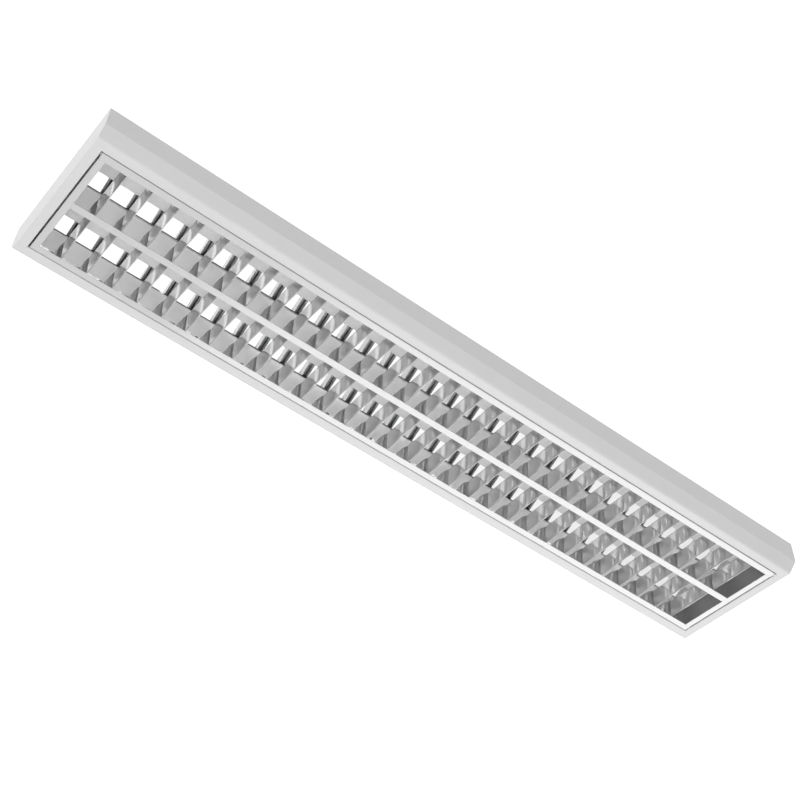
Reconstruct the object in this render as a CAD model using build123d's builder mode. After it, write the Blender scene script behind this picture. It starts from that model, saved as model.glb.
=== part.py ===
from build123d import *
import os
from math import hypot

# Surface mount louvre light: LED boards over a louvre with two lanes of cross blades, which hinges down.
# The origin is the centre of the face that lies on the ceiling, X along the length, Z up.
# Heights in the values below are measured up from the face that looks down into the room.

os.makedirs("parts", exist_ok=True)

# Housing, folded from one sheet, with a welded plate at each end
body_length = 1200.0
body_height = 53.0
body_width = 245.0
knee_height = 16.0
ceiling_inset = 3.0
face_inset = 13.2
body_sheet = 0.8
knee_bend = 4.0
face_bend = 5.0
ceiling_bend = 2.0
hem_bend = 1.2
side_flange = 14.5
end_flange = 13.5
flange_return = 4.0
end_tab_depth = 12.0
end_tab_width = 110.0
end_edge_round = 0.3
corner_overlap = 1.8

# Louvre frame
side_gap = 1.2
end_gap = 2.4
rail_sheet = 0.8
rail_bend = 1.0
side_rail_width = 10.3
end_rail_width = 9.3
centre_rail_width = 10.4
rail_leg = 9.0
joint_gap = 0.1

# Louvre reflectors and cross blades
reflector_sheet = 0.5
wall_height = 35.8
wall_lean = 6.4
wall_bow = 1.3
wall_foot = 3.4
wall_setback = 3.3
blade_count = 30
first_cell = 30.5
blade_height = 26.8
blade_top_width = 8.4
blade_slot = 1.8
blade_sheet = 0.4
blade_nose = 0.6
blade_bow = 0.45
blade_clearance = 0.1

# Top reflectors, one over each lane
seam_gap = 0.8
crown_drop = 9.8
crown_width = 18.8
top_sheet = 0.5
top_bend = 0.8
top_foot = 9.0
top_reflector_inset = 4.0

# LED boards and the opal covers over them
board_end_margin = 14.3
board_width = 12.0
board_thickness = 1.0
board_gap = 1.0
channel_depth = 3.2
cover_sheet = 0.8
cover_depth = 4.2
cover_bend = 1.0
cover_clearance = 0.3
chip_length = 3.5
chip_width = 2.8
chip_thickness = 0.7
chip_pitch = 20.0
link_length = 14.0
link_width = 5.0
link_height = 1.8

# Fixings inside the housing
stud_radius = 2.0
stud_length = 7.0
stud_hole_clearance = 0.2
nut_across_flats = 7.0
nut_height = 3.2
stud_end_inset = 100.0

# Ceiling fixings and cable entry
fixing_end_inset = 200.0
fixing_foot_gap = 4.1
fixing_hole_radius = 3.25
entry_radius = 10.0
entry_gap = 38.0
gear_wall_gap = 3.5
grommet_bore_radius = 5.0
grommet_flange_radius = 12.0
grommet_flange_thickness = 2.0
grommet_fit = 0.1

# Louvre pivots and catch springs
pivot_inset = 2.8
pivot_pin_radius = 1.5
pivot_pin_length = 10.5
pivot_bore_clearance = 0.08
pivot_eye_radius = 2.8
bracket_sheet = 1.0
bracket_width = 12.0
bracket_shoulder = 8.0
bracket_foot = 12.0
bracket_end_gap = 0.7
block_width = 5.0
block_height = 6.0
block_length = 14.0
block_arm_length = 24.0
block_arm_thickness = 2.0
block_edge_chamfer = 0.3
spring_sheet = 0.5
spring_width = 20.0
spring_end_inset = 180.0
spring_gap = 0.6
spring_foot = 8.0
spring_height = 13.0
spring_bump = 2.6
spring_bend = 0.9

# LED driver and terminal block
driver_length = 280.0
driver_width = 22.0
driver_height = 20.0
driver_sheet = 0.8
driver_x = 175.0
driver_tab = 12.0
driver_lid_gap = 0.1
socket_width = 13.0
socket_height = 9.0
socket_depth = 14.0
socket_proud = 2.0
transformer_length = 28.0
capacitor_length = 14.0
capacitor_spacing = 112.0
circuit_thickness = 1.6
circuit_height = 5.0
circuit_margin = 3.0
terminal_length = 32.0
terminal_width = 20.0
terminal_height = 15.0
terminal_foot = 8.2
terminal_foot_thickness = 3.0
terminal_gap = 79.0
terminal_hole_radius = 1.3
terminal_hole_depth = 8.0
terminal_pitch = 6.0
earth_gap = 36.0
washer_radius = 4.5
washer_thickness = 0.8
earth_tongue_length = 12.0

# Wires inside the housing
wire_radius = 1.0
lead_drop = 3.6
lead_spacing = 10.0
lead_run = 23.0
lead_bend = 9.0
lead_window_margin = 4.0
lead_window_clearance = 1.0
crown_hole_radius = 2.5

# Levels and lines worked out from the sizes above
face_z = -body_height
roof_z = -body_sheet
ceiling_width = body_width - 2 * ceiling_inset
face_width = body_width - 2 * face_inset
opening_width = face_width - 2 * side_flange
opening_length = body_length - 2 * end_flange
plate_x = body_length / 2 - body_sheet
louvre_width = opening_width - 2 * side_gap
louvre_length = opening_length - 2 * end_gap
louvre_half_width = louvre_width / 2
louvre_end_x = louvre_length / 2
lane_length = louvre_length - 2 * end_rail_width
lane_inner_y = centre_rail_width / 2
lane_outer_y = louvre_half_width - side_rail_width
lane_half = (lane_outer_y - lane_inner_y) / 2
lane_y = (lane_outer_y + lane_inner_y) / 2
blade_pitch = (lane_length - 2 * first_cell) / (blade_count - 1)
rail_top_z = face_z + rail_sheet
wall_top_z = face_z + wall_height
wall_length = louvre_length - 2 * wall_setback
wing_z = wall_top_z + seam_gap
crown_z = -crown_drop
channel_z = crown_z + channel_depth
wing_half = lane_half - wall_lean
top_reflector_length = lane_length - 2 * top_reflector_inset
foot_z = roof_z - top_sheet
inner_foot_y = lane_y - wing_half - top_foot / 2
outer_foot_y = lane_y + wing_half + top_foot / 2
pivot_y = -(louvre_half_width - pivot_inset)
pivot_z = face_z + pivot_inset
bracket_x = louvre_end_x + bracket_end_gap
stud_hole_radius = stud_radius + stud_hole_clearance
stud_spacing = body_length / 2 - stud_end_inset
fixing_spacing_x = body_length - 2 * fixing_end_inset
fixing_spacing_y = 2 * outer_foot_y + top_foot + 2 * fixing_foot_gap
board_length = (lane_length - board_gap) / 2 - board_end_margin
spring_spacing = body_length - 2 * spring_end_inset
gear_line_y = ceiling_width / 2 - gear_wall_gap - driver_width / 2
driver_bottom_z = roof_z - driver_height
driver_stud_x = driver_length / 2 + driver_tab / 2
lead_turn_x = driver_x + driver_length / 2 + lead_run
lead_z = roof_z - lead_drop
terminal_x = driver_x - driver_length / 2 - terminal_gap - terminal_length / 2
earth_x = terminal_x - terminal_length / 2 - earth_gap
entry_x = earth_x - entry_gap
lanes = ("hinge_side", "catch_side")
ends = ("left", "right")


def direction(side):
    """-1 for the hinge side and the left end, 1 for the catch side and the right end."""
    return -1 if side in ("hinge_side", "left") else 1


def write(piece, name):
    """Label a finished piece and write its file."""
    piece.part.label = name
    export_step(piece.part, f"parts/{name}.step")


def folded(plane, points, radii, sheet, side, half_length):
    """A sheet folded along a line of points, the same on both sides of its plane."""
    with BuildPart() as strip:
        with BuildSketch(plane):
            with BuildLine():
                FilletPolyline(*points, radius=radii)
                offset(amount=sheet, side=side)
            make_face()
        extrude(amount=half_length, both=True)
    return strip.part


# Housing outline, from the flange on the hinge side round to the flange on the catch side
half_outline = [
    (opening_width / 2, face_z + flange_return),
    (opening_width / 2, face_z),
    (face_width / 2, face_z),
    (body_width / 2, face_z + knee_height),
    (ceiling_width / 2, 0),
]
half_bends = [hem_bend, face_bend, knee_bend, ceiling_bend]
hinge_outline = [(-y, z) for y, z in half_outline]
housing_section = hinge_outline + half_outline[::-1]
housing_bends = half_bends + half_bends[::-1]

# Ceiling fixing holes, welded studs and the cable entry all go through or stand on the top of the housing
reflector_studs = [
    (x, direction(lane) * y)
    for x in (-stud_spacing, 0.0, stud_spacing)
    for y in (inner_foot_y, outer_foot_y)
    for lane in lanes
]
bracket_stud_x = bracket_x + (bracket_foot + bracket_sheet) / 2
bracket_studs = [(direction(end) * bracket_stud_x, pivot_y) for end in ends]
driver_studs = [(driver_x + direction(end) * driver_stud_x, gear_line_y) for end in ends]
terminal_stud = (terminal_x, gear_line_y - terminal_width / 2 - terminal_foot / 2)
earth_stud = (earth_x, gear_line_y)

with BuildPart() as housing:
    add(folded(Plane.YZ, housing_section, housing_bends, body_sheet, Side.RIGHT, plate_x))
    with BuildSketch(Plane.XY.offset(roof_z)):
        with GridLocations(fixing_spacing_x, fixing_spacing_y, 2, 2):
            Circle(fixing_hole_radius)
        with Locations((entry_x, gear_line_y)):
            Circle(entry_radius)
    extrude(amount=body_sheet, mode=Mode.SUBTRACT)
    with BuildSketch(Plane.XY.offset(face_z)):
        with GridLocations(opening_length + end_flange, 0, 2, 1):
            Rectangle(end_flange, opening_width + 2 * corner_overlap)
    extrude(amount=flange_return + body_sheet, mode=Mode.SUBTRACT)
write(housing, "housing")

# End plates: the outline of the housing, a flange along the opening and a tab under the roof
with BuildPart() as end_plate:
    with BuildSketch(Plane.YZ.offset(plate_x)):
        with BuildLine():
            FilletPolyline(*housing_section[1:-1], radius=housing_bends[1:-1])
            Line(housing_section[-2], housing_section[1])
        make_face()
    extrude(amount=body_sheet)
    fillet(end_plate.faces().sort_by(Axis.X)[-1].edges(), radius=end_edge_round)
    flange_line = [
        (plate_x, face_z),
        (opening_length / 2, face_z),
        (opening_length / 2, face_z + flange_return),
    ]
    flange_half = opening_width / 2 + corner_overlap
    add(folded(Plane.XZ, flange_line, [hem_bend], body_sheet, Side.RIGHT, flange_half))
    with BuildSketch(Plane.XY.offset(roof_z)):
        with Locations((plate_x - end_tab_depth / 2, 0)):
            Rectangle(end_tab_depth, end_tab_width)
    extrude(amount=-body_sheet)
write(end_plate, "end_plate_right")

with BuildPart() as end_plate_left:
    mirror(end_plate.part, about=Plane.YZ)
write(end_plate_left, "end_plate_left")

# Studs welded under the roof and the nuts that hold the inner pieces on them
thin_studs = reflector_studs + driver_studs + bracket_studs + [terminal_stud, earth_stud]
with BuildPart() as weld_studs:
    with BuildSketch(Plane.XY.offset(roof_z)):
        with Locations(*thin_studs):
            Circle(stud_radius)
    extrude(amount=-stud_length)
write(weld_studs, "weld_studs")


def nuts(places, top_z):
    """Hexagon nuts screwed up against the piece that they hold."""
    with BuildPart() as nut_group:
        with BuildSketch(Plane.XY.offset(top_z)):
            with Locations(*places):
                RegularPolygon(nut_across_flats / 2, 6, major_radius=False)
                Circle(stud_radius, mode=Mode.SUBTRACT)
        extrude(amount=-nut_height)
    return nut_group


write(nuts(reflector_studs, foot_z), "reflector_nuts")
write(nuts(driver_studs, roof_z - driver_sheet), "driver_nuts")
write(nuts(bracket_studs, roof_z - bracket_sheet), "bracket_nuts")
write(nuts([terminal_stud], roof_z - terminal_foot_thickness), "terminal_nut")
write(nuts([earth_stud], roof_z - washer_thickness), "earth_nut")

# Cable grommet, flush with the ceiling face
with BuildPart() as cable_grommet:
    with BuildSketch(Plane.XY.offset(roof_z)):
        with Locations((entry_x, gear_line_y)):
            Circle(grommet_flange_radius)
    extrude(amount=-grommet_flange_thickness)
    with BuildSketch(Plane.XY.offset(roof_z)):
        with Locations((entry_x, gear_line_y)):
            Circle(entry_radius - grommet_fit)
    extrude(amount=body_sheet)
    with Locations((entry_x, gear_line_y, 0)):
        Hole(grommet_bore_radius)
write(cable_grommet, "cable_grommet")

# Top reflectors: feet on the roof, legs down beside the lane, wings up to a flat crown with the LED boards
leads = {"hinge_side": lead_turn_x + lead_spacing, "catch_side": lead_turn_x}
window_length = lead_spacing + 2 * (wire_radius + lead_window_margin)
window_height = 2 * (wire_radius + lead_window_clearance)
for lane in lanes:
    sign = direction(lane)
    centre = sign * lane_y
    section = [
        (centre - wing_half - top_foot, foot_z),
        (centre - wing_half, foot_z),
        (centre - wing_half, wing_z),
        (centre - crown_width / 2, crown_z),
        (centre - crown_width / 2, channel_z),
        (centre + crown_width / 2, channel_z),
        (centre + crown_width / 2, crown_z),
        (centre + wing_half, wing_z),
        (centre + wing_half, foot_z),
        (centre + wing_half + top_foot, foot_z),
    ]
    with BuildPart() as top_reflector:
        add(folded(Plane.YZ, section, top_bend, top_sheet, Side.LEFT, top_reflector_length / 2))
        with BuildSketch(Plane.XY.offset(foot_z)):
            with Locations(*reflector_studs):
                Circle(stud_hole_radius)
        extrude(amount=top_sheet, mode=Mode.SUBTRACT)
        with BuildSketch(Plane.XY.offset(channel_z)):
            with Locations((leads[lane], centre)):
                Circle(crown_hole_radius)
        extrude(amount=top_sheet, mode=Mode.SUBTRACT)
        with Locations((lead_turn_x + lead_spacing / 2, centre, lead_z)):
            Box(window_length, 2 * lane_half, window_height, mode=Mode.SUBTRACT)
    write(top_reflector, f"top_reflector_{lane}")

    with BuildPart() as led_boards:
        with BuildSketch(Plane.XY.offset(channel_z)):
            with Locations((0, centre)):
                with GridLocations(board_length + board_gap, 0, 2, 1):
                    Rectangle(board_length, board_width)
        extrude(amount=-board_thickness)
    write(led_boards, f"led_boards_{lane}")

    with BuildPart() as led_chips:
        with BuildSketch(Plane.XY.offset(channel_z - board_thickness)):
            with Locations((0, centre)):
                with GridLocations(board_length + board_gap, 0, 2, 1):
                    with GridLocations(chip_pitch, 0, int(board_length / chip_pitch), 1):
                        Rectangle(chip_length, chip_width)
        extrude(amount=-chip_thickness)
    write(led_chips, f"led_chips_{lane}")

    with BuildPart() as board_link:
        with BuildSketch(Plane.XY.offset(channel_z - board_thickness)):
            with Locations((0, centre)):
                Rectangle(link_length, link_width)
        extrude(amount=-link_height)
    write(board_link, f"board_link_{lane}")

    # Opal cover, pushed into the channel over the boards
    cover_half = crown_width / 2 - cover_clearance
    cover_section = [
        (centre - cover_half, channel_z - top_bend),
        (centre - cover_half, channel_z - cover_depth),
        (centre + cover_half, channel_z - cover_depth),
        (centre + cover_half, channel_z - top_bend),
    ]
    with BuildPart() as opal_cover:
        add(folded(Plane.YZ, cover_section, cover_bend, cover_sheet, Side.LEFT, top_reflector_length / 2))
    write(opal_cover, f"opal_cover_{lane}")

# Driver: a case open downwards with a tab at each end, its circuit board, lid and two push-in sockets
with BuildPart() as driver_case:
    with BuildSketch(Plane.XY.offset(roof_z)):
        with Locations((driver_x, gear_line_y)):
            Rectangle(driver_length + 2 * driver_tab, driver_width)
        with Locations(*driver_studs):
            Circle(stud_hole_radius, mode=Mode.SUBTRACT)
    extrude(amount=-driver_sheet)
    with BuildSketch(Plane.XY.offset(roof_z - driver_sheet)):
        with Locations((driver_x, gear_line_y)):
            Rectangle(driver_length, driver_width)
            Rectangle(driver_length - 2 * driver_sheet, driver_width - 2 * driver_sheet, mode=Mode.SUBTRACT)
    extrude(amount=driver_sheet - driver_height)
    with Locations((driver_x, gear_line_y, roof_z - driver_height / 2)):
        Box(driver_length + driver_sheet, socket_width, socket_height, mode=Mode.SUBTRACT)
write(driver_case, "driver_case")

with BuildPart() as driver_lid:
    with BuildSketch(Plane.XY.offset(driver_bottom_z - driver_sheet)):
        with Locations((driver_x, gear_line_y)):
            Rectangle(driver_length, driver_width)
    extrude(amount=driver_sheet)
    lip_length = driver_length - 2 * (driver_sheet + driver_lid_gap)
    lip_width = driver_width - 2 * (driver_sheet + driver_lid_gap)
    with BuildSketch(Plane.XY.offset(driver_bottom_z)):
        with Locations((driver_x, gear_line_y)):
            Rectangle(lip_length, lip_width)
            Rectangle(lip_length - 2 * driver_sheet, lip_width - 2 * driver_sheet, mode=Mode.SUBTRACT)
    extrude(amount=circuit_height - circuit_thickness)
write(driver_lid, "driver_lid")

circuit_z = driver_bottom_z + circuit_height
with BuildPart() as driver_circuit:
    with BuildSketch(Plane.XY.offset(circuit_z)):
        with Locations((driver_x, gear_line_y)):
            Rectangle(lip_length - 2 * (socket_depth + circuit_margin), lip_width)
    extrude(amount=-circuit_thickness)
    with BuildSketch(Plane.XY.offset(circuit_z)):
        with Locations((driver_x, gear_line_y)):
            Rectangle(transformer_length, socket_width)
            with GridLocations(capacitor_spacing, 0, 2, 1):
                Rectangle(capacitor_length, socket_width)
    extrude(amount=socket_height)
write(driver_circuit, "driver_circuit")

with BuildPart() as driver_sockets:
    for end in ends:
        socket_x = driver_x + direction(end) * (driver_length / 2 + socket_proud - socket_depth / 2)
        with Locations((socket_x, gear_line_y, roof_z - driver_height / 2)):
            Box(socket_depth, socket_width - joint_gap, socket_height - joint_gap)
write(driver_sockets, "driver_sockets")

# Mains terminal block with a fixing foot, three wire holes at each end
with BuildPart() as terminal_block:
    with BuildSketch(Plane.XY.offset(roof_z)):
        with Locations((terminal_x, gear_line_y)):
            Rectangle(terminal_length, terminal_width)
    extrude(amount=-terminal_height)
    with BuildSketch(Plane.XY.offset(roof_z)):
        with Locations((terminal_x, gear_line_y - terminal_width / 2 - terminal_foot / 2)):
            Rectangle(terminal_foot, terminal_foot)
            Circle(stud_hole_radius, mode=Mode.SUBTRACT)
    extrude(amount=-terminal_foot_thickness)
    for end in ends:
        end_plane = Plane(
            (terminal_x + direction(end) * terminal_length / 2, gear_line_y, roof_z - terminal_height / 2),
            x_dir=(0, 1, 0),
            z_dir=(direction(end), 0, 0),
        )
        with BuildSketch(end_plane):
            with GridLocations(terminal_pitch, 0, 3, 1):
                Circle(terminal_hole_radius)
        extrude(amount=-terminal_hole_depth, mode=Mode.SUBTRACT)
write(terminal_block, "terminal_block")

# Earth tag between the roof and the earth nut, with a tongue for the wire
with BuildPart() as earth_tag:
    with BuildSketch(Plane.XY.offset(roof_z)):
        with Locations(earth_stud):
            Circle(washer_radius)
        with Locations((earth_x + earth_tongue_length / 2, gear_line_y)):
            Rectangle(earth_tongue_length, washer_radius)
        with Locations(earth_stud):
            Circle(stud_radius, mode=Mode.SUBTRACT)
    extrude(amount=-washer_thickness)
write(earth_tag, "earth_tag")


def wire(points, bend):
    """A round insulated wire along straight runs joined by arcs."""
    with BuildPart() as lead:
        with BuildLine() as route:
            FilletPolyline(*points, radius=bend)
        with BuildSketch(Plane(route.line @ 0, z_dir=route.line % 0)):
            Circle(wire_radius)
        sweep(path=route.line)
    return lead


# Mains wires from the terminal block to the driver, and the earth wire to its stud
terminal_z = roof_z - terminal_height / 2
socket_z = roof_z - driver_height / 2
terminal_end_x = terminal_x + terminal_length / 2
socket_end_x = driver_x - driver_length / 2 - socket_proud
wire_bend = 6 * wire_radius
for name, place in {"live": -1, "neutral": 0}.items():
    y_terminal = gear_line_y + place * terminal_pitch
    y_socket = gear_line_y + place * terminal_pitch / 2
    run = (socket_end_x - terminal_end_x) / 3
    line = [
        (terminal_end_x - terminal_hole_depth, y_terminal, terminal_z),
        (terminal_end_x + run, y_terminal, terminal_z),
        (socket_end_x - run, y_socket, socket_z),
        (socket_end_x, y_socket, socket_z),
    ]
    write(wire(line, wire_bend), f"{name}_wire")

terminal_start_x = terminal_x - terminal_length / 2
earth_end_z = roof_z - washer_thickness - wire_radius
earth_line = [
    (terminal_start_x + terminal_hole_depth, gear_line_y + terminal_pitch, terminal_z),
    (terminal_start_x - wire_bend, gear_line_y + terminal_pitch, terminal_z),
    (earth_x + washer_radius + 2 * wire_bend, gear_line_y, earth_end_z),
    (earth_x + washer_radius, gear_line_y, earth_end_z),
]
write(wire(earth_line, wire_bend), "earth_wire")

# Leads from the driver over the top reflectors and down through the crowns to the boards
for lane in lanes:
    sign = direction(lane)
    lead_x = leads[lane]
    y_socket = gear_line_y - sign * socket_width / 4
    start_x = driver_x + driver_length / 2 + socket_proud
    line = [
        (start_x, y_socket, socket_z),
        (lead_x, y_socket, socket_z),
        (lead_x, outer_foot_y + top_foot / 2, lead_z),
        (lead_x, sign * lane_y, lead_z),
        (lead_x, sign * lane_y, channel_z),
    ]
    write(wire(line, [lead_bend, lead_bend, 2 * wire_radius]), f"led_lead_{lane}")

# Louvre side rails, the full length of the louvre
for lane in lanes:
    sign = direction(lane)
    rail_section = [
        (sign * lane_outer_y, face_z),
        (sign * louvre_half_width, face_z),
        (sign * louvre_half_width, face_z + rail_leg),
    ]
    rail_side = Side.LEFT if sign > 0 else Side.RIGHT
    with BuildPart() as side_rail:
        add(folded(Plane.YZ, rail_section, [rail_bend], rail_sheet, rail_side, louvre_end_x))
    write(side_rail, f"louvre_side_rail_{lane}")

# End rails between the side rails, and the centre rail between the end rails
end_rail_half = lane_outer_y - joint_gap
end_rail_section = [
    (lane_length / 2, face_z),
    (louvre_end_x, face_z),
    (louvre_end_x, face_z + rail_leg),
]
with BuildPart() as end_rail:
    add(folded(Plane.XZ, end_rail_section, [rail_bend], rail_sheet, Side.LEFT, end_rail_half))
write(end_rail, "louvre_end_rail_right")

with BuildPart() as end_rail_left:
    mirror(end_rail.part, about=Plane.YZ)
write(end_rail_left, "louvre_end_rail_left")

with BuildPart() as centre_rail:
    with BuildSketch(Plane.XY.offset(face_z)):
        Rectangle(lane_length - 2 * joint_gap, centre_rail_width)
    extrude(amount=rail_sheet)
write(centre_rail, "louvre_centre_rail")

# Wall line of a lane, from the rail up to the top edge: steep at first, then leaning over the lane
wall_rise = wall_height - rail_sheet
wall_chord = hypot(wall_rise, wall_lean)
bow_y = wall_bow * wall_rise / wall_chord
bow_z = wall_bow * wall_lean / wall_chord


def wall_points(wall_y, inward):
    """Bottom, middle and top of a lane wall whose lower edge is at wall_y."""
    return (
        (wall_y, rail_top_z),
        (wall_y + inward * (wall_lean / 2 - bow_y), (rail_top_z + wall_top_z) / 2 + bow_z),
        (wall_y + inward * wall_lean, wall_top_z),
    )


def reflector_wall(wall_y, inward):
    """A side reflector: a foot on the rail and a hollow wall leaning over the lane."""
    outward = -inward
    back = reflector_sheet * outward
    with BuildPart() as wall:
        with BuildSketch(Plane.YZ):
            with BuildLine():
                bottom, middle, top = wall_points(wall_y, inward)
                ThreePointArc(bottom, middle, top)
                Line(top, (top[0] + back, top[1]))
                foot_top = rail_top_z + reflector_sheet
                ThreePointArc(
                    (top[0] + back, top[1]),
                    (middle[0] + back, middle[1]),
                    (wall_y + back, foot_top),
                )
                Polyline(
                    (wall_y + back, foot_top),
                    (wall_y + outward * wall_foot, foot_top),
                    (wall_y + outward * wall_foot, rail_top_z),
                    bottom,
                )
            make_face()
        extrude(amount=wall_length / 2, both=True)
    return wall


# Space of one lane between its walls, used to trim the blades and the end panels
def lane_space(sign, top_z):
    """The free section of a lane along the whole louvre, less the clearance at the walls."""
    inner = sign * (lane_inner_y + blade_clearance)
    outer = sign * (lane_outer_y - blade_clearance)
    inner_bottom, inner_middle, inner_top = wall_points(inner, sign)
    outer_bottom, outer_middle, outer_top = wall_points(outer, -sign)
    with BuildPart() as space:
        with BuildSketch(Plane.YZ):
            with BuildLine():
                ThreePointArc(inner_bottom, inner_middle, inner_top)
                Line(inner_top, outer_top)
                ThreePointArc(outer_top, outer_middle, outer_bottom)
                Polyline(outer_bottom, (outer, face_z), (inner, face_z), inner_bottom)
            make_face()
        extrude(amount=louvre_end_x, both=True)
        with BuildSketch(Plane.XY.offset(top_z)):
            Rectangle(body_length, body_width)
        extrude(amount=body_height, mode=Mode.SUBTRACT)
    return space.part


# Cross blade section: a sheet folded to a narrow V with hollowed faces, its top edges folded in to a slot
blade_rise = blade_height - blade_nose
blade_half = blade_top_width / 2
hollow_x = blade_nose + (blade_half - blade_nose) / 2 - blade_bow


def blade_faces(inset):
    """Points up one face of the V, from its nose to its top edge, moved in by inset."""
    return (
        (blade_nose - inset, face_z + blade_nose),
        (hollow_x - inset, face_z + blade_nose + blade_rise / 2),
        (blade_half - inset, face_z + blade_height - inset),
    )


def blade():
    """One blade along Y, long enough to cross a lane."""
    with BuildPart() as whole:
        with BuildSketch(Plane.XZ):
            with BuildLine():
                low, mid, high = blade_faces(0)
                in_low, in_mid, in_high = blade_faces(blade_sheet)
                lip = blade_slot / 2
                ThreePointArc(low, mid, high)
                Polyline(high, (lip, high[1]), (lip, in_high[1]), in_high)
                ThreePointArc(in_high, in_mid, in_low)
                ThreePointArc(in_low, (0, in_low[1] - in_low[0]), (-in_low[0], in_low[1]))
                ThreePointArc((-in_low[0], in_low[1]), (-in_mid[0], in_mid[1]), (-in_high[0], in_high[1]))
                Polyline((-in_high[0], in_high[1]), (-lip, in_high[1]), (-lip, high[1]), (-high[0], high[1]))
                ThreePointArc((-high[0], high[1]), (-mid[0], mid[1]), (-low[0], low[1]))
                ThreePointArc((-low[0], low[1]), (0, low[1] - blade_nose), low)
            make_face()
        extrude(amount=lane_half, both=True)
    return whole.part


blade_groups = ("left", "middle", "right")
group_size = blade_count // len(blade_groups)
plain_blade = blade()
for lane in lanes:
    sign = direction(lane)
    for side_name, wall_y, inward in (
        ("outer", sign * lane_outer_y, -sign),
        ("inner", sign * lane_inner_y, sign),
    ):
        write(reflector_wall(wall_y, inward), f"louvre_reflector_{side_name}_{lane}")

    # Blades, trimmed by the lane walls, in three groups along the lane
    room = lane_space(sign, wall_top_z)
    with BuildPart() as trimmed_blade:
        with Locations((0, sign * lane_y, 0)):
            add(plain_blade)
        add(room, mode=Mode.INTERSECT)
    for index, group in enumerate(blade_groups):
        first = index * group_size
        last = blade_count if group == "right" else first + group_size
        with BuildPart() as blades:
            for number in range(first, last):
                with Locations((first_cell - lane_length / 2 + number * blade_pitch, 0, 0)):
                    add(trimmed_blade.part)
        write(blades, f"louvre_blades_{group}_{lane}")

    # End panels close the lane over the end rails
    with BuildPart() as end_panels:
        for end in ends:
            panel_x = direction(end) * (lane_length / 2 + reflector_sheet / 2)
            with Locations((panel_x, sign * lane_y, (rail_top_z + wall_top_z) / 2)):
                Box(reflector_sheet, 2 * lane_half, wall_rise)
        add(room, mode=Mode.INTERSECT)
    write(end_panels, f"louvre_end_panels_{lane}")

# Corner blocks in the rails; those on the hinge side hold the pivot pins
block_outer_y = louvre_half_width - rail_sheet
block_inner_y = block_outer_y - block_width
arm_outer_x = louvre_end_x - rail_sheet
arm_start_y = block_inner_y - block_arm_length
for lane in lanes:
    sign = direction(lane)
    for end in ends:
        end_sign = direction(end)
        with BuildPart() as corner_block:
            with BuildSketch(Plane.XY.offset(rail_top_z)):
                with Locations((
                    end_sign * (louvre_end_x - block_length / 2),
                    sign * (block_outer_y + block_inner_y) / 2,
                )):
                    Rectangle(block_length, block_width)
                with Locations((
                    end_sign * (arm_outer_x - block_arm_thickness / 2),
                    sign * (block_inner_y + arm_start_y) / 2,
                )):
                    Rectangle(block_arm_thickness, block_inner_y - arm_start_y)
            extrude(amount=block_height)
            chamfer(corner_block.faces().sort_by(Axis.Z)[0].edges(), length=block_edge_chamfer)
            if sign < 0:
                with BuildSketch(Plane.YZ.offset(end_sign * (louvre_end_x - block_length))):
                    with Locations((pivot_y, pivot_z)):
                        Circle(pivot_pin_radius)
                extrude(amount=end_sign * block_length, mode=Mode.SUBTRACT)
        write(corner_block, f"corner_block_{end}_{lane}")

# Pivot pins in the corner blocks, and the brackets that hang from the roof into the end gaps
pin_end_x = bracket_x + bracket_sheet
eye_bore = pivot_pin_radius + pivot_bore_clearance
eye_radius = min(pivot_eye_radius, pivot_inset)
for end in ends:
    end_sign = direction(end)
    with BuildPart() as pivot_pin:
        with BuildSketch(Plane.YZ.offset(end_sign * pin_end_x)):
            with Locations((pivot_y, pivot_z)):
                Circle(pivot_pin_radius)
        extrude(amount=-end_sign * pivot_pin_length)
    write(pivot_pin, f"pivot_pin_{end}")

    with BuildPart() as pivot_bracket:
        with BuildSketch(Plane.YZ.offset(end_sign * bracket_x)):
            with Locations((pivot_y, pivot_z)):
                Circle(eye_radius)
            with Locations((pivot_y, pivot_z + bracket_shoulder / 2)):
                Rectangle(2 * eye_radius, bracket_shoulder)
            arm_bottom_z = pivot_z + bracket_shoulder
            with Locations((pivot_y, (arm_bottom_z + roof_z) / 2)):
                Rectangle(bracket_width, roof_z - arm_bottom_z)
            with Locations((pivot_y, pivot_z)):
                Circle(eye_bore, mode=Mode.SUBTRACT)
        extrude(amount=end_sign * bracket_sheet)
        with BuildSketch(Plane.XY.offset(roof_z)):
            with Locations((end_sign * (bracket_x + bracket_foot / 2), pivot_y)):
                Rectangle(bracket_foot, bracket_width)
            with Locations((end_sign * bracket_stud_x, pivot_y)):
                Circle(stud_hole_radius, mode=Mode.SUBTRACT)
        extrude(amount=-bracket_sheet)
    write(pivot_bracket, f"pivot_bracket_{end}")

# Catch springs, welded on the flange, that press on the free side of the louvre
bump_y = louvre_half_width + spring_gap
back_y = opening_width / 2 + body_sheet + spring_sheet
spring_foot_z = face_z + body_sheet
spring_line = [
    (back_y + spring_sheet + spring_foot, spring_foot_z),
    (back_y + spring_sheet, spring_foot_z),
    (back_y + spring_sheet, face_z + spring_height - 2 * spring_bump),
    (bump_y, face_z + spring_height - spring_bump),
    (back_y, face_z + spring_height),
]
for end in ends:
    with BuildPart() as catch_spring:
        spring_plane = Plane.YZ.offset(direction(end) * spring_spacing / 2)
        add(folded(spring_plane, spring_line, spring_bend, spring_sheet, Side.RIGHT, spring_width / 2))
    write(catch_spring, f"catch_spring_{end}")
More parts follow.
